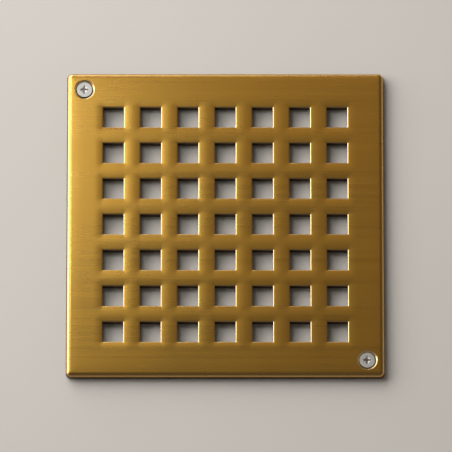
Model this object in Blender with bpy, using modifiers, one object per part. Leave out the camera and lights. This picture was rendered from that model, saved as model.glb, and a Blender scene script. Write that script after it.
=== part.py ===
"""Square floor drain grate: a brass plate with a grid of square drainage holes, and its two countersunk fixing screws.

Frame: the origin is the middle of the plate's underside, where the drain body's rim holds it. +Z points up, out of
the floor, and X and Y run along the plate's edges. Lengths are in metres.
"""

import math

import bmesh
import bpy

INCH = 0.0254

# Driving dimensions of the plate: a 4-1/4 inch square of 1/8 inch brass, with holes every 1/2 inch.
PLATE_WIDTH = 4.25 * INCH
PLATE_THICKNESS = INCH / 8
HOLE_PITCH = INCH / 2
HOLE_WIDTH = 0.0070
HOLES_PER_SIDE = 7

# Worked edges of the plate
CORNER_RADIUS = 0.0018
RIM_ROUND = 0.0015
UNDERSIDE_CHAMFER = 0.0003
HOLE_EDGE_ROUND = 0.0003

# Screw holes, in two opposite corners
SCREW_INSET = 0.0059
BORE_DIAMETER = 0.0040
COUNTERSINK_DIAMETER = 0.0068

# Fixing screws: No. 4-40, 1/2 inch long, with a 90 degree countersunk head
HEAD_DIAMETER = 0.0053
HEAD_LAND = 0.0001
THREAD_DIAMETER = 0.112 * INCH
THREAD_PITCH = INCH / 40
SCREW_LENGTH = INCH / 2
SEAT_CLEARANCE = 0.00025
RECESS_SPAN = 0.0029
RECESS_SLOT = 0.0006
RECESS_DEPTH = 0.0012
RECESS_TAPER = 0.45

# Worked out from the dimensions above
CORE_RADIUS = THREAD_DIAMETER / 2 - 0.54 * THREAD_PITCH
HEAD_DROP = (COUNTERSINK_DIAMETER - HEAD_DIAMETER) / 2 - SEAT_CLEARANCE * math.sqrt(2) - HEAD_LAND
HEAD_TOP = PLATE_THICKNESS - HEAD_DROP
SCREW_OFFSET = PLATE_WIDTH / 2 - SCREW_INSET
SCREW_PLACES = {
    "rear_left": (-SCREW_OFFSET, SCREW_OFFSET),
    "front_right": (SCREW_OFFSET, -SCREW_OFFSET),
}

# Fineness of the round shapes
CORNER_STEPS = 5
RIM_STEPS = 4
HOLE_EDGE_STEPS = 2
BORE_STEPS = 32
SCREW_STEPS = 16
MERGE = 0.000001
OVERCUT = 0.001


def clear_scene():
    for obj in list(bpy.data.objects):
        bpy.data.objects.remove(obj, do_unlink=True)


def collection(name):
    made = bpy.data.collections.new(name)
    bpy.context.scene.collection.children.link(made)
    return made


def material(name, color, roughness):
    made = bpy.data.materials.new(name)
    made.use_nodes = True
    shader = made.node_tree.nodes["Principled BSDF"]
    shader.inputs["Base Color"].default_value = (*color, 1)
    shader.inputs["Metallic"].default_value = 1
    shader.inputs["Roughness"].default_value = roughness
    return made


def add_object(name, mesh, home, finish=None):
    obj = bpy.data.objects.new(name, mesh)
    home.objects.link(obj)
    if finish:
        mesh.materials.append(finish)
    return obj


def add_cutter(name, mesh, home):
    cutter = add_object(name, mesh, home)
    cutter.hide_render = True
    cutter.display_type = "WIRE"
    return cutter


def mesh_from(bm, name):
    bmesh.ops.recalc_face_normals(bm, faces=bm.faces)
    mesh = bpy.data.meshes.new(name)
    bm.to_mesh(mesh)
    bm.free()
    return mesh


def profile_mesh(name, profile):
    """An open outline of (radius, height) points, which runs down its outer side."""
    mesh = bpy.data.meshes.new(name)
    points = [(radius, 0, height) for radius, height in profile]
    mesh.from_pydata(points, [(i, i + 1) for i in range(len(points) - 1)], [])
    return mesh


def turn(obj, steps):
    """Turns the object's outline a full round about its own Z axis."""
    screw = obj.modifiers.new("turned", "SCREW")
    screw.axis = "Z"
    screw.steps = steps
    screw.render_steps = steps
    screw.use_merge_vertices = True
    screw.merge_threshold = MERGE
    screw.use_smooth_shade = False


def combine(obj, other, operation):
    boolean = obj.modifiers.new(f"{operation.lower()} {other.name}", "BOOLEAN")
    boolean.operation = operation
    boolean.solver = "EXACT"
    boolean.object = other


def blank_mesh():
    """The solid plate: upright corners rounded, top rim rounded, lower rim chamfered."""
    bm = bmesh.new()
    bmesh.ops.create_cube(bm, size=1)
    bmesh.ops.scale(bm, verts=bm.verts, vec=(PLATE_WIDTH, PLATE_WIDTH, PLATE_THICKNESS))
    bmesh.ops.translate(bm, verts=bm.verts, vec=(0, 0, PLATE_THICKNESS / 2))
    upright = [e for e in bm.edges if abs(e.verts[0].co.z - e.verts[1].co.z) > MERGE]
    bmesh.ops.bevel(
        bm, geom=upright, offset=CORNER_RADIUS, segments=CORNER_STEPS, profile=0.5, affect="EDGES"
    )
    round_rim(bm, PLATE_THICKNESS, RIM_ROUND, RIM_STEPS)
    round_rim(bm, 0, UNDERSIDE_CHAMFER, 1)
    return mesh_from(bm, "plate blank")


def round_rim(bm, height, width, steps):
    """Bevels every edge that lies at one height."""
    rim = [e for e in bm.edges if all(abs(v.co.z - height) < MERGE for v in e.verts)]
    bmesh.ops.bevel(bm, geom=rim, offset=width, segments=steps, profile=0.5, affect="EDGES")


def hole_centres():
    middle = (HOLES_PER_SIDE - 1) / 2
    for row in range(HOLES_PER_SIDE):
        for column in range(HOLES_PER_SIDE):
            yield ((column - middle) * HOLE_PITCH, (row - middle) * HOLE_PITCH)


def hole_levels():
    """(half width, height) up one drainage hole: straight walls, then the rounded edge, then flaring clear."""
    half = HOLE_WIDTH / 2
    levels = [(half, -OVERCUT)]
    for step in range(HOLE_EDGE_STEPS + 1):
        angle = math.pi / 2 * step / HOLE_EDGE_STEPS
        out = HOLE_EDGE_ROUND * (1 - math.cos(angle))
        down = HOLE_EDGE_ROUND * (1 - math.sin(angle))
        levels.append((half + out, PLATE_THICKNESS - down))
    (width_1, height_1), (width_2, height_2) = levels[-2:]
    levels[-1] = (2 * width_2 - width_1, 2 * height_2 - height_1)
    return levels


def hole_cutter_mesh():
    """One tapering square plug for each drainage hole."""
    bm = bmesh.new()
    for x, y in hole_centres():
        rings = []
        for half, height in hole_levels():
            corners = [(-half, -half), (half, -half), (half, half), (-half, half)]
            rings.append([bm.verts.new((x + dx, y + dy, height)) for dx, dy in corners])
        bm.faces.new(reversed(rings[0]))
        bm.faces.new(rings[-1])
        for lower, upper in zip(rings, rings[1:]):
            for i in range(4):
                j = (i + 1) % 4
                bm.faces.new((lower[i], lower[j], upper[j], upper[i]))
    return mesh_from(bm, "drainage hole plugs")


def countersink_profile():
    """A 90 degree countersink over a plain bore, running past both faces of the plate."""
    bore = BORE_DIAMETER / 2
    cone_foot = PLATE_THICKNESS - (COUNTERSINK_DIAMETER / 2 - bore)
    mouth = COUNTERSINK_DIAMETER / 2 + OVERCUT
    return [
        (0, PLATE_THICKNESS + OVERCUT),
        (mouth, PLATE_THICKNESS + OVERCUT),
        (bore, cone_foot),
        (bore, -OVERCUT),
        (0, -OVERCUT),
    ]


def make_plate(parts, cutters, finish):
    plate = add_object("grate_plate", blank_mesh(), parts, finish)
    combine(plate, add_cutter("drainage_holes", hole_cutter_mesh(), cutters), "DIFFERENCE")
    outline = profile_mesh("screw hole outline", countersink_profile())
    for place, (x, y) in SCREW_PLACES.items():
        cutter = add_cutter(f"screw_hole_{place}", outline, cutters)
        cutter.location = (x, y, 0)
        turn(cutter, BORE_STEPS)
        combine(plate, cutter, "DIFFERENCE")
    return plate


def screw_profile():
    """The screw without its thread: flat head, short land, 90 degree cone, core and chamfered end.

    Height 0 is the top of the head.
    """
    head = HEAD_DIAMETER / 2
    cone_foot = -HEAD_LAND - (head - CORE_RADIUS)
    end = CORE_RADIUS / 2
    return [
        (0, 0),
        (head, 0),
        (head, -HEAD_LAND),
        (CORE_RADIUS, cone_foot),
        (CORE_RADIUS, -SCREW_LENGTH + end),
        (CORE_RADIUS - end, -SCREW_LENGTH),
        (0, -SCREW_LENGTH),
    ]


def thread_mesh():
    """A ridge of 60 degree section wound right-handed round the core, its root sunk into it."""
    sunk = CORE_RADIUS * 0.9
    crest = THREAD_DIAMETER / 2
    crest_half = THREAD_PITCH / 16
    root_half = crest_half + (crest - sunk) * math.tan(math.radians(30))
    start = -SCREW_LENGTH + CORE_RADIUS / 2 + root_half
    stop = -(HEAD_DIAMETER / 2 - CORE_RADIUS) - 2 * THREAD_PITCH
    turns = math.floor((stop - start) / THREAD_PITCH)
    section = [
        (sunk, -root_half),
        (crest, -crest_half),
        (crest, crest_half),
        (sunk, root_half),
    ]
    bm = bmesh.new()
    corners = [bm.verts.new((radius, 0, start + height)) for radius, height in section]
    face = bm.faces.new(corners)
    bmesh.ops.spin(
        bm,
        geom=[face, *face.edges, *face.verts],
        axis=(0, 0, 1),
        cent=(0, 0, 0),
        dvec=(0, 0, THREAD_PITCH / SCREW_STEPS),
        angle=2 * math.pi * turns,
        steps=turns * SCREW_STEPS,
    )
    return mesh_from(bm, "thread ridge")


def recess_mesh():
    """One blade of the cross recess: a slot that narrows towards its floor."""
    bm = bmesh.new()
    bmesh.ops.create_cube(bm, size=1)
    height = RECESS_DEPTH + OVERCUT
    bmesh.ops.scale(bm, verts=bm.verts, vec=(RECESS_SPAN, RECESS_SLOT, height))
    bmesh.ops.translate(bm, verts=bm.verts, vec=(0, 0, height / 2 - RECESS_DEPTH))
    floor = [v for v in bm.verts if v.co.z < 0]
    bmesh.ops.scale(bm, verts=floor, vec=(RECESS_TAPER, 1, 1))
    return mesh_from(bm, "recess blade")


def make_screws(parts, cutters, finish):
    outline = profile_mesh("screw outline", screw_profile())
    thread = thread_mesh()
    blade = recess_mesh()
    for place, (x, y) in SCREW_PLACES.items():
        screw = add_object(f"fixing_screw_{place}", outline.copy(), parts, finish)
        screw.location = (x, y, HEAD_TOP)
        turn(screw, SCREW_STEPS)
        ridge = add_cutter(f"thread_{place}", thread, cutters)
        ridge.location = screw.location
        ridge.rotation_euler.z = math.pi / SCREW_STEPS
        combine(screw, ridge, "UNION")
        for quarter in range(2):
            slot = add_cutter(f"recess_{place}_{quarter}", blade, cutters)
            slot.location = screw.location
            slot.rotation_euler.z = quarter * math.pi / 2
            combine(screw, slot, "DIFFERENCE")


def main():
    clear_scene()
    parts = collection("floor drain grate")
    cutters = collection("cutters")
    brass = material("satin brass", (0.58, 0.40, 0.13), 0.32)
    steel = material("stainless steel", (0.60, 0.58, 0.55), 0.30)
    make_plate(parts, cutters, brass)
    make_screws(parts, cutters, steel)


main()
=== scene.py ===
"""The looks of the floor drain grate: satin brass, stainless screws, pale floor and soft studio light.

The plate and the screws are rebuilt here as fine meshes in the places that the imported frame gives. Lengths
are in metres, in the frame's own coordinates: +Z up, X and Y along the plate's edges.
"""

import math

import bmesh
import bpy
import numpy as np
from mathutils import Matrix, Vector


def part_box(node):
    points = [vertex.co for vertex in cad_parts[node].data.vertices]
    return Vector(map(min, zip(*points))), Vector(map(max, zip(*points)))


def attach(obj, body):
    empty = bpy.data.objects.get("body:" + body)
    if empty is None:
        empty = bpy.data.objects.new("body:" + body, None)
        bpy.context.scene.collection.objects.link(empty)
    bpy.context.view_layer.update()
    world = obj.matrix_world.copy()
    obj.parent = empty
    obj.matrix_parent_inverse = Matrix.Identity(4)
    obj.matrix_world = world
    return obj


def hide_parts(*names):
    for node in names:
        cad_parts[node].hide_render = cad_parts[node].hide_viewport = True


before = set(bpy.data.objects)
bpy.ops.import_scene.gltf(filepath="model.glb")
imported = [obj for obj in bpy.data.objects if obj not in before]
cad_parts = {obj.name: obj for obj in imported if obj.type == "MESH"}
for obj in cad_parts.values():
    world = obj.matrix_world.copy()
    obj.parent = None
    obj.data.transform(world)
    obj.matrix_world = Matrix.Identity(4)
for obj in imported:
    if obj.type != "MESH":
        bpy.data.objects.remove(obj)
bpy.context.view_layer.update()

MM = 0.001
INCH = 0.0254

# Taken from the frame
PLATE_LOW, PLATE_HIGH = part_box("grate_plate")
HALF_WIDTH = PLATE_HIGH.x
TOP = PLATE_HIGH.z
SCREW_BODIES = {
    "fixing_screw_rear_left": "screw_rear_left",
    "fixing_screw_front_right": "screw_front_right",
}

# The grid of drainage holes
HOLE_PITCH = INCH / 2
HOLE_HALF = 3.5 * MM
HOLES_PER_SIDE = 7
HOLE_EDGE_ROUND = 0.3 * MM
HOLE_LOWER_CHAMFER = 0.15 * MM
BAR_HALF = HOLE_PITCH / 2 - HOLE_HALF
OUTER_HOLE = (HOLES_PER_SIDE - 1) // 2

# The plate's outer edges
CORNER_RADIUS = 1.8 * MM
RIM_ROUND = 1.5 * MM
UNDERSIDE_CHAMFER = 0.3 * MM

# Polishing has rolled the face off towards each hole and, less, towards the rim
HOLE_DISH = 0.10 * MM
RIM_DISH = 0.06 * MM
RIM_DISH_WIDTH = 5.0 * MM

# Screw holes
BORE_RADIUS = 2.0 * MM
COUNTERSINK_RADIUS = 3.4 * MM
COUNTERSINK_BREAK = 0.12 * MM

# The square patch of face round a screw hole, filled with rings from its edge (0) to the hole's mouth (1)
PATCH_HALF = 4.1 * MM
PATCH_CELLS = 16
PATCH_RINGS = (0.2, 0.45, 0.7, 0.9, 1.0)

# Screws: No. 4-40, with a thread of 60 degree section
THREAD_RADIUS = 0.056 * INCH
THREAD_PITCH = INCH / 40
THREAD_DEPTH = 0.54 * THREAD_PITCH
CORE_RADIUS = THREAD_RADIUS - THREAD_DEPTH
HEAD_LAND = 0.1 * MM
RECESS_HALF = 1.45 * MM
RECESS_SLOT_HALF = 0.3 * MM
RECESS_DEPTH = 1.2 * MM
SCREW_STEPS = 48

# Fineness of the face's grid: the first step away from an edge, and how much each step grows on the last
HOLE_FIRST_STEP = 0.05 * MM
HOLE_GROWTH = 1.4
INNER_FIRST_STEP = 0.3 * MM
INNER_GROWTH = 2.0
RIM_FIRST_STEP = 0.02 * MM
RIM_GROWTH = 1.35
LAST_STEP = 1.4
PATCH_MARGIN = 0.1 * MM
SHARP_DEGREES = 35

# How far upwards a surface faces, from 0 for a wall to 1 for the flat face. Polishing reaches nothing
# below the first of these and everything from the second on
# The unpolished walls get a dark colour that is partly painted shade
UNPOLISHED_BELOW = 0.35
POLISHED_FROM = 0.65
# Worn brightness and a painted highlight start where the face turns over into an edge, and are full a little
# further round
WEAR_AND_HIGHLIGHT_STARTS = 0.995
WEAR_AND_HIGHLIGHT_FULL = 0.935
# Handling wears the holes' edges bright, and the rounder rim less; the pale edge colour is also a painted
# highlight
HOLE_WEAR_AND_HIGHLIGHT = 0.6
RIM_WEAR_AND_HIGHLIGHT = 0.25

# Finishes, as linear colours
BRASS = (0.82, 0.45, 0.085)
BRASS_TARNISHED = (0.74, 0.385, 0.06)
# Pale edge colour: partly wear, partly a painted highlight of the edges catching the light
BRASS_WORN_AND_HIGHLIGHT = (0.93, 0.76, 0.48)
# Dark wall colour: unpolished skin, partly painted shade in the holes and on the outer walls
BRASS_SKIN_AND_SHADE = (0.12, 0.07, 0.025)
BRASS_SKIN_AND_SHADE_DARK = (0.07, 0.04, 0.014)
BRASS_ROUGHNESS = 0.28
SKIN_ROUGHNESS = 0.5
LACQUER = 0.25
LACQUER_ROUGHNESS = 0.2
STEEL = (0.78, 0.75, 0.71)
STEEL_DULL = (0.66, 0.63, 0.59)
STEEL_ROUGHNESS = 0.48
FLOOR = (0.86, 0.80, 0.74)
FLOOR_DARKER = (0.84, 0.78, 0.72)

# Studio: soft boxes aimed at the plate. Azimuth runs anticlockwise from +X, as seen from above
WHITE = (1.0, 1.0, 1.0)
WARM = (1.0, 0.75, 0.4)
COOL = (0.88, 0.97, 1.0)
SOFT_BOXES = {
    "key": dict(azimuth=142, elevation=28, distance=1.2, width=2.2, height=0.9, watts=23, colour=WHITE),
    "near": dict(
        azimuth=135, elevation=60, distance=0.45, width=0.15, height=0.15, watts=0.24, colour=COOL
    ),
    "top": dict(azimuth=80, elevation=60, distance=1.2, width=0.4, height=0.4, watts=0.15, colour=WARM),
}
# Pale walls all round, fading upwards into a dim ceiling
WALL_COLOUR = (1.0, 0.93, 0.84)
WALL_GLOW = 0.35
CEILING_GLOW = 0.08
CEILING_START = math.sin(math.radians(35))

FLOOR_REACH = 3.0

CAMERA_ELEVATION = 73.0
CAMERA_DISTANCE = 3.0
CAMERA_LENS = 703
CAMERA_SENSOR = 36
CAMERA_NEAREST = 0.01
CAMERA_FURTHEST = 20
CAMERA_TARGET = (0.27 * MM, -0.71 * MM, TOP)

TINY = 1e-7


def screw_centre(node):
    low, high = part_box(node)
    return (low + high) / 2


SCREW_INSET = HALF_WIDTH - abs(screw_centre("fixing_screw_rear_left").x)


def steps_to(end, first, growth):
    """Distances from 0 to end, each step larger than the last."""
    marks = [0.0]
    step = first
    while marks[-1] + LAST_STEP * step < end:
        marks.append(marks[-1] + step)
        step *= growth
    return marks + [end]


def grid_line():
    """Positions of the face's grid lines along one axis, closest together at the edges that they shape."""
    patch_start = HALF_WIDTH - SCREW_INSET - PATCH_HALF
    patch_end = HALF_WIDTH - SCREW_INSET + PATCH_HALF
    marks = []
    for column in range(OUTER_HOLE + 1):
        edge = column * HOLE_PITCH + HOLE_HALF
        other_edge = column * HOLE_PITCH - HOLE_HALF
        for inset in steps_to(HOLE_HALF, INNER_FIRST_STEP, INNER_GROWTH):
            marks += [edge - inset, other_edge + inset]
        for out in steps_to(BAR_HALF, HOLE_FIRST_STEP, HOLE_GROWTH):
            marks += [edge + out, other_edge - out]
    marks = [m for m in marks if m < patch_start - PATCH_MARGIN]
    marks += list(np.linspace(patch_start, patch_end, PATCH_CELLS + 1))
    rim_steps = steps_to(HALF_WIDTH - patch_end, RIM_FIRST_STEP, RIM_GROWTH)
    marks += [HALF_WIDTH - inset for inset in rim_steps]
    line = []
    for mark in sorted(max(m, 0.0) for m in marks if m > -TINY):
        if not line or mark - line[-1] > TINY:
            line.append(mark)
    return [-m for m in reversed(line[1:])] + line


def nearest_hole(along):
    """The middle of the drainage hole nearest to a position along one axis."""
    column = np.clip(np.round(along / HOLE_PITCH), -OUTER_HOLE, OUTER_HOLE)
    return column * HOLE_PITCH


def round_corner(x, y):
    """Draws the square grid's corners in to the plate's corner radius."""
    start = HALF_WIDTH - CORNER_RADIUS
    u = np.clip((np.abs(x) - start) / CORNER_RADIUS, 0, 1)
    v = np.clip((np.abs(y) - start) / CORNER_RADIUS, 0, 1)
    drawn_u = u * np.sqrt(1 - v * v / 2)
    drawn_v = v * np.sqrt(1 - u * u / 2)
    new_x = np.where(u > 0, np.sign(x) * (start + drawn_u * CORNER_RADIUS), x)
    new_y = np.where(v > 0, np.sign(y) * (start + drawn_v * CORNER_RADIUS), y)
    return new_x, new_y


def rim_inset(x, y):
    """How far a point lies inside the plate's outline."""
    start = HALF_WIDTH - CORNER_RADIUS
    u = np.maximum(np.abs(x) - start, 0)
    v = np.maximum(np.abs(y) - start, 0)
    beside = HALF_WIDTH - np.maximum(np.abs(x), np.abs(y))
    return np.where((u > 0) & (v > 0), CORNER_RADIUS - np.hypot(u, v), beside)


def edge_drop(distance, radius):
    """How far a rounded edge has fallen, at a distance in from where it turns vertical."""
    left = np.clip(radius - distance, 0, radius)
    return radius - np.sqrt(np.maximum(radius * radius - left * left, 0))


def roll_off(distance, depth, width):
    return depth * np.clip(1 - distance / width, 0, 1) ** 2


def face_height(x, y):
    """Height of the plate's face, with its rounded edges and the gentle roll-off that polishing gave it."""
    inset = rim_inset(x, y)
    across = np.maximum(np.abs(x - nearest_hole(x)) - HOLE_HALF, 0)
    along = np.maximum(np.abs(y - nearest_hole(y)) - HOLE_HALF, 0)
    from_hole = np.hypot(across, along)
    drop = edge_drop(inset, RIM_ROUND) + roll_off(inset, RIM_DISH, RIM_DISH_WIDTH)
    drop += edge_drop(from_hole, HOLE_EDGE_ROUND) + roll_off(from_hole, HOLE_DISH, BAR_HALF)
    return TOP - drop


class Shape:
    """Gathers points and faces for one mesh."""

    def __init__(self):
        self.points = []
        self.faces = []

    def add(self, point):
        self.points.append(tuple(point))
        return len(self.points) - 1

    def ring(self, points):
        return [self.add(p) for p in points]

    def join(self, ring, other):
        """Faces between two closed rings of the same length."""
        for i in range(len(ring)):
            j = (i + 1) % len(ring)
            self.faces.append((ring[i], ring[j], other[j], other[i]))

    def at(self, ring):
        return np.array([self.points[i] for i in ring])


def in_hole(x, y):
    inside_x = abs(x - nearest_hole(x)) < HOLE_HALF
    return inside_x and abs(y - nearest_hole(y)) < HOLE_HALF


def in_patch(x, y, centres):
    return any(abs(x - c.x) < PATCH_HALF and abs(y - c.y) < PATCH_HALF for c in centres)


def grid_ring(index, low_i, high_i, low_j, high_j):
    """The grid's points round a rectangle of cells, anticlockwise."""
    ring = [index[i, low_j] for i in range(low_i, high_i)]
    ring += [index[high_i, j] for j in range(low_j, high_j)]
    ring += [index[i, high_j] for i in range(high_i, low_i, -1)]
    ring += [index[low_i, j] for j in range(high_j, low_j, -1)]
    return ring


def lay_face(shape, line, centres):
    """The plate's top face as a grid, open at the drainage holes and round the screw holes."""
    index = {}
    middles = [(a + b) / 2 for a, b in zip(line, line[1:])]
    for i, x in enumerate(middles):
        for j, y in enumerate(middles):
            if in_hole(x, y) or in_patch(x, y, centres):
                continue
            corners = [(i, j), (i + 1, j), (i + 1, j + 1), (i, j + 1)]
            for corner in corners:
                if corner not in index:
                    px, py = round_corner(line[corner[0]], line[corner[1]])
                    index[corner] = shape.add((px, py, face_height(px, py)))
            shape.faces.append(tuple(index[c] for c in corners))
    return index


def line_index(line, value):
    return int(np.argmin(np.abs(np.array(line) - value)))


def ring_round(index, line, centre, half):
    """The grid's points round a square opening in the face."""
    low_i, low_j = (line_index(line, c - half) for c in centre)
    high_i, high_j = (line_index(line, c + half) for c in centre)
    return grid_ring(index, low_i, high_i, low_j, high_j)


def sink_walls(shape, ring, centre, half, chamfer, outwards):
    """Walls from a ring on the face down to the underside, ending in a small chamfer."""
    top = shape.at(ring)
    lower = top.copy()
    lower[:, 2] = PLATE_LOW.z + chamfer
    foot = top.copy()
    scale = (half + outwards * chamfer) / half
    foot[:, :2] = centre + (top[:, :2] - centre) * scale
    foot[:, 2] = PLATE_LOW.z
    lower_ring = shape.ring(lower)
    foot_ring = shape.ring(foot)
    shape.join(ring, lower_ring)
    shape.join(lower_ring, foot_ring)


def countersink_levels():
    """(radius, height) down a screw hole from its softened mouth to the underside."""
    mouth = COUNTERSINK_RADIUS
    cone_foot = TOP - (COUNTERSINK_RADIUS - BORE_RADIUS)
    edge = COUNTERSINK_BREAK
    return [
        (mouth + 0.35 * edge, TOP - 0.1 * edge),
        (mouth, TOP - 0.35 * edge),
        (mouth - 0.5 * edge, TOP - 0.75 * edge),
        (BORE_RADIUS + 0.15 * MM, cone_foot + 0.15 * MM),
        (BORE_RADIUS + 0.03 * MM, cone_foot),
        (BORE_RADIUS, cone_foot - 0.12 * MM),
        (BORE_RADIUS, PLATE_LOW.z + HOLE_LOWER_CHAMFER),
        (BORE_RADIUS + HOLE_LOWER_CHAMFER, PLATE_LOW.z),
    ]


def lay_screw_hole(shape, ring, centre):
    """Fills the square left round a screw hole, then follows the countersink and bore down."""
    middle = np.array(centre.xy)
    square = shape.at(ring)
    outward = square[:, :2] - middle
    outward /= np.linalg.norm(outward, axis=1)[:, None]
    mouth = middle + outward * (COUNTERSINK_RADIUS + COUNTERSINK_BREAK)
    previous = ring
    for share in PATCH_RINGS:
        place = square[:, :2] * (1 - share) + mouth * share
        heights = face_height(place[:, 0], place[:, 1])
        current = shape.ring(np.column_stack([place, heights]))
        shape.join(previous, current)
        previous = current
    for radius, height in countersink_levels():
        place = middle + outward * radius
        current = shape.ring(np.column_stack([place, np.full(len(place), height)]))
        shape.join(previous, current)
        previous = current


def make_mesh(name, shape):
    """A closed, smooth-shaded mesh. Whatever the shape leaves open is one flat face, which is filled here.

    An edge that turns more sharply than SHARP_DEGREES stays crisp.
    """
    mesh = bpy.data.meshes.new(name)
    mesh.from_pydata(shape.points, [], shape.faces)
    bm = bmesh.new()
    bm.from_mesh(mesh)
    bmesh.ops.remove_doubles(bm, verts=bm.verts, dist=TINY)
    open_edges = [e for e in bm.edges if e.is_boundary]
    bmesh.ops.triangle_fill(bm, use_beauty=True, use_dissolve=False, edges=open_edges)
    bmesh.ops.recalc_face_normals(bm, faces=bm.faces)
    bm.to_mesh(mesh)
    bm.free()
    mesh.shade_smooth()
    mesh.set_sharp_from_angle(angle=math.radians(SHARP_DEGREES))
    return mesh


def add_object(name, mesh):
    obj = bpy.data.objects.new(name, mesh)
    bpy.context.scene.collection.objects.link(obj)
    return obj


def make_plate():
    shape = Shape()
    line = grid_line()
    centres = [screw_centre(node) for node in SCREW_BODIES]
    index = lay_face(shape, line, centres)
    last = len(line) - 1
    sink_walls(shape, grid_ring(index, 0, last, 0, last), np.zeros(2), HALF_WIDTH, UNDERSIDE_CHAMFER, -1)
    for column in range(-OUTER_HOLE, OUTER_HOLE + 1):
        for row in range(-OUTER_HOLE, OUTER_HOLE + 1):
            centre = np.array([column * HOLE_PITCH, row * HOLE_PITCH])
            ring = ring_round(index, line, centre, HOLE_HALF)
            sink_walls(shape, ring, centre, HOLE_HALF, HOLE_LOWER_CHAMFER, 1)
    for centre in centres:
        lay_screw_hole(shape, ring_round(index, line, centre.xy, PATCH_HALF), centre)
    return add_object("brass_plate", make_mesh("brass plate", shape))


def thread_profile():
    """(share of the pitch, radius) at the corners of one turn of the thread, from its crest's middle."""
    crest_half = 1 / 16
    flank = THREAD_DEPTH * math.tan(math.radians(30)) / THREAD_PITCH
    half_way = (THREAD_RADIUS + CORE_RADIUS) / 2
    rising = [
        (crest_half, THREAD_RADIUS),
        (crest_half + flank / 2, half_way),
        (crest_half + flank, CORE_RADIUS),
    ]
    falling = [(1 - share, radius) for share, radius in reversed(rising)]
    return [(0.0, THREAD_RADIUS)] + rising + [(0.5, CORE_RADIUS)] + falling


def lay_thread(shape, centre, tip, foot):
    """The threaded shank, its rows of points following the thread up. Returns its top and bottom rings."""
    profile = thread_profile()
    turns = math.ceil((foot - tip) / THREAD_PITCH) + 3
    run_out = foot - THREAD_PITCH
    columns = []
    for step in range(SCREW_STEPS):
        angle = 2 * math.pi * step / SCREW_STEPS
        column = []
        for turn in range(turns):
            for share, radius in profile:
                climbed = turn - 1 + share + step / SCREW_STEPS
                height = min(max(tip + climbed * THREAD_PITCH, tip), foot)
                tip_limit = CORE_RADIUS / 2 + height - tip
                run_out_limit = CORE_RADIUS + max(run_out - height, 0)
                across = min(radius, tip_limit, run_out_limit)
                column.append(shape.add(around(centre, across, angle, height)))
        columns.append(column)
    for step, column in enumerate(columns):
        last = step + 1 == SCREW_STEPS
        beside = columns[0][len(profile):] if last else columns[step + 1]
        for row in range(len(beside) - 1):
            shape.faces.append((column[row], beside[row], beside[row + 1], column[row + 1]))
    return [column[-1] for column in columns], [column[0] for column in columns]


def around(centre, radius, angle, height):
    return (centre.x + radius * math.cos(angle), centre.y + radius * math.sin(angle), height)


def lathe_ring(shape, centre, radius, height):
    angles = [2 * math.pi * step / SCREW_STEPS for step in range(SCREW_STEPS)]
    return shape.ring([around(centre, radius, angle, height) for angle in angles])


def cross_ring(shape, centre, half_span, half_slot, height):
    """A cross outline with filleted inner corners and rounded blade ends."""
    fillet = half_slot * 0.6
    end = half_slot * 0.5
    blade = [
        (half_span - 0.3 * end, -half_slot + 0.3 * end),
        (half_span, 0),
        (half_span - 0.3 * end, half_slot - 0.3 * end),
        (half_span - end, half_slot),
        (half_slot + fillet, half_slot),
        (half_slot + 0.3 * fillet, half_slot + 0.3 * fillet),
        (half_slot, half_slot + fillet),
        (half_slot, half_span - end),
    ]
    points = []
    for quarter in range(4):
        c = round(math.cos(quarter * math.pi / 2))
        s = round(math.sin(quarter * math.pi / 2))
        points += [(centre.x + c * x - s * y, centre.y + s * x + c * y, height) for x, y in blade]
    return shape.ring(points)


def lay_recess(shape, centre, top):
    """The cross recess, its blades narrowing to a point in the middle of the head."""
    edge = 0.05 * MM
    levels = [
        (RECESS_HALF + edge, RECESS_SLOT_HALF + edge, 0),
        (RECESS_HALF, RECESS_SLOT_HALF, edge),
        (RECESS_HALF * 0.72, RECESS_SLOT_HALF * 0.9, RECESS_DEPTH * 0.5),
        (RECESS_HALF * 0.45, RECESS_SLOT_HALF * 0.8, RECESS_DEPTH),
    ]
    rings = [cross_ring(shape, centre, span, slot, top - depth) for span, slot, depth in levels]
    for ring, lower in zip(rings, rings[1:]):
        shape.join(ring, lower)
    point = shape.add((centre.x, centre.y, top - RECESS_DEPTH * 1.15))
    floor = rings[-1]
    for i in range(len(floor)):
        shape.faces.append((floor[i], floor[(i + 1) % len(floor)], point))


def make_screw(node):
    low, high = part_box(node)
    centre = screw_centre(node)
    head = (high.x - low.x) / 2
    shape = Shape()
    foot = high.z - HEAD_LAND - (head - CORE_RADIUS)
    neck, end = lay_thread(shape, centre, low.z, foot)
    tip = shape.add((centre.x, centre.y, low.z))
    for i in range(SCREW_STEPS):
        shape.faces.append((end[i], end[(i + 1) % SCREW_STEPS], tip))
    outline = [
        (CORE_RADIUS + 0.06 * MM, foot + 0.04 * MM),
        (head - 0.03 * MM, high.z - HEAD_LAND - 0.03 * MM),
        (head, high.z - HEAD_LAND + 0.02 * MM),
        (head - 0.02 * MM, high.z - 0.03 * MM),
        (head - 0.06 * MM, high.z),
    ]
    previous = neck
    for radius, height in outline:
        ring = lathe_ring(shape, centre, radius, height)
        shape.join(previous, ring)
        previous = ring
    lay_recess(shape, centre, high.z)
    return add_object(node.replace("fixing_screw", "steel_screw"), make_mesh(node, shape))


def new_material(name):
    made = bpy.data.materials.new(name)
    made.use_nodes = True
    return made, made.node_tree.nodes, made.node_tree.links, made.node_tree.nodes["Principled BSDF"]


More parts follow.
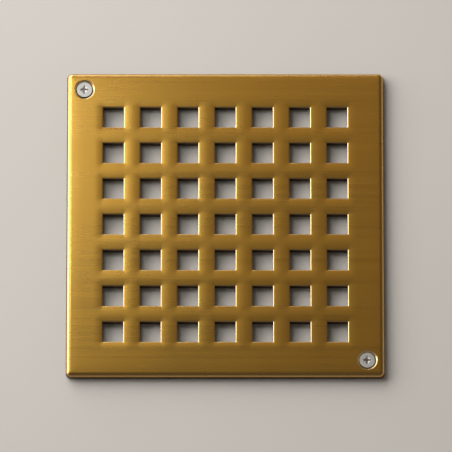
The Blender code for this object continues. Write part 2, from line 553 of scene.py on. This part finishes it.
def noise_of(nodes, links, stretch, detail):
    """Noise on the object's own coordinates, with stretch grains to a metre along each axis."""
    place = nodes.new("ShaderNodeTexCoord")
    mapping = nodes.new("ShaderNodeMapping")
    mapping.inputs["Scale"].default_value = stretch
    noise = nodes.new("ShaderNodeTexNoise")
    noise.inputs["Scale"].default_value = 1.0
    noise.inputs["Detail"].default_value = detail
    links.new(place.outputs["Object"], mapping.inputs["Vector"])
    links.new(mapping.outputs["Vector"], noise.inputs["Vector"])
    return noise.outputs["Fac"]


def spread(nodes, links, value, low, high, start=0.3, end=0.7):
    """Maps a value that runs from start to end, by default most of a noise's range, to low and high."""
    node = nodes.new("ShaderNodeMapRange")
    node.inputs["From Min"].default_value = start
    node.inputs["From Max"].default_value = end
    node.inputs["To Min"].default_value = low
    node.inputs["To Max"].default_value = high
    links.new(value, node.inputs["Value"])
    return node.outputs["Result"]


def combined(nodes, links, operation, first, second):
    node = nodes.new("ShaderNodeMath")
    node.operation = operation
    for value, socket in zip((first, second), node.inputs):
        if isinstance(value, (int, float)):
            socket.default_value = value
        else:
            links.new(value, socket)
    return node.outputs["Value"]


def blended(nodes, links, share, first, second):
    """A colour between two."""
    node = nodes.new("ShaderNodeMix")
    node.data_type = "RGBA"
    for value, socket in zip((share, first, second), (node.inputs[0], node.inputs[6], node.inputs[7])):
        if isinstance(value, (int, float)):
            socket.default_value = value
        elif isinstance(value, tuple):
            socket.default_value = (*value, 1)
        else:
            links.new(value, socket)
    return node.outputs[2]


def bumped(nodes, links, height, distance, strength, under=None):
    node = nodes.new("ShaderNodeBump")
    node.inputs["Distance"].default_value = distance
    node.inputs["Strength"].default_value = strength
    links.new(height, node.inputs["Height"])
    if under:
        links.new(under, node.inputs["Normal"])
    return node.outputs["Normal"]


def stored(nodes, name):
    node = nodes.new("ShaderNodeAttribute")
    node.attribute_name = name
    return node.outputs["Fac"]


def brass_material():
    """Satin brass brushed along X, with a little tarnish, bright worn edges that are partly a painted
    highlight, and dark unpolished walls that are partly painted shade.
    """
    made, nodes, links, shader = new_material("satin brass")
    shader.inputs["Metallic"].default_value = 1
    shader.inputs["Coat Weight"].default_value = LACQUER
    shader.inputs["Coat Roughness"].default_value = LACQUER_ROUGHNESS
    brushing = noise_of(nodes, links, (3, 420, 300), 2.0)
    fine = noise_of(nodes, links, (12, 2600, 900), 1.0)
    clouds = noise_of(nodes, links, (24, 30, 30), 3.0)
    saw_marks = noise_of(nodes, links, (5200, 5200, 260), 3.0)
    polish = stored(nodes, "polish")
    colour = blended(nodes, links, spread(nodes, links, clouds, 0, 1), BRASS, BRASS_TARNISHED)
    streaks = spread(nodes, links, brushing, 0, 0.5)
    colour = blended(nodes, links, streaks, colour, BRASS_TARNISHED)
    # Paler colour at the edges: wear, plus a painted highlight
    colour = blended(nodes, links, stored(nodes, "wear_and_highlight"), colour, BRASS_WORN_AND_HIGHLIGHT)
    # Dark walls: unpolished skin, partly painted shade
    skin_and_shade = blended(nodes, links, spread(nodes, links, saw_marks, 0, 1), BRASS_SKIN_AND_SHADE, BRASS_SKIN_AND_SHADE_DARK)
    links.new(blended(nodes, links, polish, skin_and_shade, colour), shader.inputs["Base Color"])
    streak_gloss = spread(nodes, links, brushing, -0.02, 0.02)
    cloud_gloss = spread(nodes, links, clouds, -0.02, 0.02)
    grain = combined(nodes, links, "ADD", streak_gloss, cloud_gloss)
    worked = spread(nodes, links, polish, SKIN_ROUGHNESS, BRASS_ROUGHNESS, 0, 1)
    links.new(combined(nodes, links, "ADD", worked, grain), shader.inputs["Roughness"])
    unpolished = combined(nodes, links, "SUBTRACT", 1, polish)
    normal = bumped(nodes, links, brushing, 0.002 * MM, 0.15)
    normal = bumped(nodes, links, fine, 0.0005 * MM, 0.15, normal)
    marks = combined(nodes, links, "MULTIPLY", saw_marks, unpolished)
    links.new(bumped(nodes, links, marks, 0.02 * MM, 0.3, normal), shader.inputs["Normal"])
    return made


def steel_material():
    """Satin stainless steel: turned, then tumbled."""
    made, nodes, links, shader = new_material("stainless steel")
    shader.inputs["Metallic"].default_value = 1
    speckle = noise_of(nodes, links, (2600, 2600, 2600), 3.0)
    clouds = noise_of(nodes, links, (260, 260, 260), 3.0)
    colour = blended(nodes, links, spread(nodes, links, clouds, 0, 1), STEEL, STEEL_DULL)
    links.new(colour, shader.inputs["Base Color"])
    speckle_gloss = spread(nodes, links, speckle, -0.05, 0.05)
    rough = combined(nodes, links, "ADD", speckle_gloss, STEEL_ROUGHNESS)
    links.new(rough, shader.inputs["Roughness"])
    links.new(bumped(nodes, links, speckle, 0.01 * MM, 0.3), shader.inputs["Normal"])
    return made


def floor_material():
    """Pale, slightly warm, matt."""
    made, nodes, links, shader = new_material("pale floor")
    grain = noise_of(nodes, links, (900, 900, 900), 4.0)
    clouds = noise_of(nodes, links, (9, 9, 9), 3.0)
    shade = blended(nodes, links, spread(nodes, links, clouds, 0, 1), FLOOR, FLOOR_DARKER)
    links.new(shade, shader.inputs["Base Color"])
    links.new(spread(nodes, links, grain, 0.75, 0.9), shader.inputs["Roughness"])
    shader.inputs["Specular IOR Level"].default_value = 0.2
    links.new(bumped(nodes, links, grain, 0.05 * MM, 0.1), shader.inputs["Normal"])
    return made


def store(mesh, name, values):
    attribute = mesh.attributes.new(name, "FLOAT", "POINT")
    attribute.data.foreach_set("value", np.asarray(values, np.float32))


def mark_finish(plate):
    """Stores how far each point was reached by polishing, and how far handling has worn it bright, a pale
    edge colour that is also a painted highlight.

    The face and the upper part of its rounded edges are polished. The walls keep their dark sawn skin, whose
    darkness is partly painted shade.
    """
    mesh = plate.data
    places = np.array([v.co for v in mesh.vertices])
    upward = np.array([v.normal.z for v in mesh.vertices])
    x, y, z = places.T
    near_face = z > TOP - 2 * RIM_ROUND
    polish = np.clip((upward - UNPOLISHED_BELOW) / (POLISHED_FROM - UNPOLISHED_BELOW), 0, 1) * near_face
    # Edges get a pale colour: wear, and a painted highlight
    edge = np.clip((WEAR_AND_HIGHLIGHT_STARTS - upward) / (WEAR_AND_HIGHLIGHT_STARTS - WEAR_AND_HIGHLIGHT_FULL), 0, 1)
    worn_and_highlight = np.where(rim_inset(x, y) < RIM_ROUND, RIM_WEAR_AND_HIGHLIGHT, HOLE_WEAR_AND_HIGHLIGHT)
    store(mesh, "polish", polish)
    store(mesh, "wear_and_highlight", polish * edge * worn_and_highlight)


def make_floor():
    mesh = bpy.data.meshes.new("floor")
    turns = ((-1, -1), (1, -1), (1, 1), (-1, 1))
    corners = [(x * FLOOR_REACH, y * FLOOR_REACH, 0) for x, y in turns]
    mesh.from_pydata(corners, [], [(0, 1, 2, 3)])
    floor = add_object("floor", mesh)
    floor.location.z = PLATE_LOW.z
    mesh.materials.append(floor_material())


def aim(obj, place, target):
    obj.location = place
    obj.rotation_euler = (Vector(target) - Vector(place)).to_track_quat("-Z", "Y").to_euler()


def from_plate(azimuth, elevation, distance):
    """A place at a distance from the plate, in the direction that two angles in degrees give."""
    turn = math.radians(azimuth)
    rise = math.radians(elevation)
    direction = Vector((math.cos(rise) * math.cos(turn), math.cos(rise) * math.sin(turn), math.sin(rise)))
    return direction * distance


def make_lights():
    for name, box in SOFT_BOXES.items():
        data = bpy.data.lights.new(name, "AREA")
        data.shape = "RECTANGLE"
        data.size = box["width"]
        data.size_y = box["height"]
        data.energy = box["watts"]
        data.color = box["colour"]
        light = bpy.data.objects.new(name, data)
        light.visible_camera = False
        bpy.context.scene.collection.objects.link(light)
        aim(light, from_plate(box["azimuth"], box["elevation"], box["distance"]), (0, 0, 0))


def make_surroundings():
    """A glow from every side, strongest at the horizon, for the edges of the plate to reflect."""
    world = bpy.data.worlds.new("pale walls")
    world.use_nodes = True
    nodes, links = world.node_tree.nodes, world.node_tree.links
    place = nodes.new("ShaderNodeTexCoord")
    parts = nodes.new("ShaderNodeSeparateXYZ")
    links.new(place.outputs["Generated"], parts.inputs["Vector"])
    glow = spread(nodes, links, parts.outputs["Z"], WALL_GLOW, CEILING_GLOW, 0, CEILING_START)
    background = nodes["Background"]
    background.inputs["Color"].default_value = (*WALL_COLOUR, 1)
    links.new(glow, background.inputs["Strength"])
    bpy.context.scene.world = world


def make_camera():
    data = bpy.data.cameras.new("camera")
    data.sensor_width = CAMERA_SENSOR
    data.lens = CAMERA_LENS
    camera = bpy.data.objects.new("camera", data)
    bpy.context.scene.collection.objects.link(camera)
    rise = math.radians(CAMERA_ELEVATION)
    target = Vector(CAMERA_TARGET)
    away = Vector((0, -math.cos(rise), math.sin(rise))) * CAMERA_DISTANCE
    aim(camera, target + away, target)
    data.clip_start = CAMERA_NEAREST
    data.clip_end = CAMERA_FURTHEST
    bpy.context.scene.camera = camera


def build():
    plate = make_plate()
    mark_finish(plate)
    plate.data.materials.append(brass_material())
    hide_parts("grate_plate")
    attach(plate, "plate")
    steel = steel_material()
    for node, body in SCREW_BODIES.items():
        screw = make_screw(node)
        screw.data.materials.append(steel)
        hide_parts(node)
        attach(screw, body)
    make_floor()
    make_lights()
    make_surroundings()
    make_camera()
    bpy.context.scene.view_settings.view_transform = "Standard"


build()
